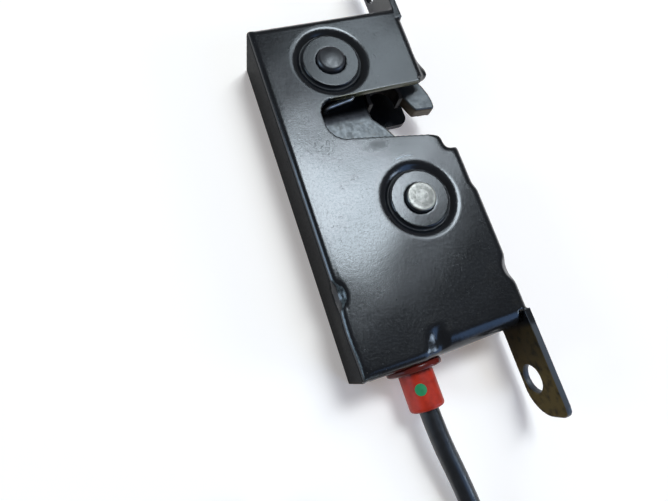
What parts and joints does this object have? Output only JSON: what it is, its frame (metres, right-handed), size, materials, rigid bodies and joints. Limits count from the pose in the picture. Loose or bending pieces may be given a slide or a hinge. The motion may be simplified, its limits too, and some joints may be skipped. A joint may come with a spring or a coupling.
{
  "type": "tailgate lock",
  "caption": "Rotary tailgate lock in a pressed black housing with a striker slot, a sprung catch and pawl, two fixing tabs and a release cable.",
  "frame": {"origin": "pawl pivot's axis on the lock's back face", "axes": "+X out of the striker slot's mouth, +Y along the housing away from the cable, +Z from the back plate to the cover's front face"},
  "size_m": [0.0838, 0.2184, 0.0192],
  "materials": {
    "cover_black": "satin black dip coat on pressed steel, worn and specked",
    "plate_black": "satin black dip coat",
    "catch_grey": "blanked steel, dull grey with brown stains",
    "liner_black": "moulded black plastic",
    "pin_steel": "riveted steel, black coat worn through to bare metal",
    "bush_plastic": "moulded natural plastic",
    "spring_steel": "spring wire",
    "buffer_rubber": "matt rubber",
    "ferrule_red": "moulded dark red plastic",
    "mark_green": "dab of green paint",
    "wire_steel": "stranded steel wire",
    "nipple_zinc": "cast zinc",
    "cable_black": "black plastic cable cover",
    "tie_black": "black nylon",
    "far_ferrule_black": "moulded black plastic"
  },
  "bodies": {
    "housing": {"housing_cover": "cover_black", "back_plate": "plate_black", "catch_pin": "pin_steel", "catch_bush": "bush_plastic", "pawl_pin": "pin_steel", "pawl_bush": "bush_plastic", "striker_buffer": "buffer_rubber", "cable_ferrule": "ferrule_red", "ferrule_mark": "mark_green", "cable_sheath": "cable_black", "cable_tail": "cable_black", "cable_coil": "cable_black", "coil_tie": "tie_black", "far_ferrule": "far_ferrule_black"},
    "catch": {"catch": "catch_grey", "catch_liner": "liner_black", "catch_spring": "spring_steel"},
    "pawl": {"pawl": "catch_grey", "pawl_spring": "spring_steel"},
    "release_wire": {"inner_wire": "wire_steel", "wire_nipple": "nipple_zinc"},
    "far_end": {"far_wire": "wire_steel", "far_nipple": "nipple_zinc"}
  },
  "joints": [
    {"name": "catch_turn", "type": "hinge", "parent": "housing", "child": "catch", "pos_m": [-0.0099, 0.0433, 0.0085], "axis": [0, 0, 1], "range_deg": [-40, 0], "stiffness_Nm_per_rad": 0.1},
    {"name": "pawl_turn", "type": "hinge", "parent": "housing", "child": "pawl", "pos_m": [0, 0, 0.0085], "axis": [0, 0, 1], "range_deg": [0, 10], "stiffness_Nm_per_rad": 0.08},
    {"name": "wire_slide", "type": "slide", "parent": "housing", "child": "release_wire", "axis": [0, -1, 0], "range_m": [0, 0.0025]},
    {"name": "far_wire_slide", "type": "slide", "parent": "housing", "child": "far_end", "axis": [0.063, 0.998, 0], "range_m": [0, 0.0025]}
  ],
  "couplings": [
    {"joint": "wire_slide", "follows": "pawl_turn", "m_per_rad": 0.0139},
    {"joint": "far_wire_slide", "follows": "pawl_turn", "m_per_rad": 0.0139}
  ]
}
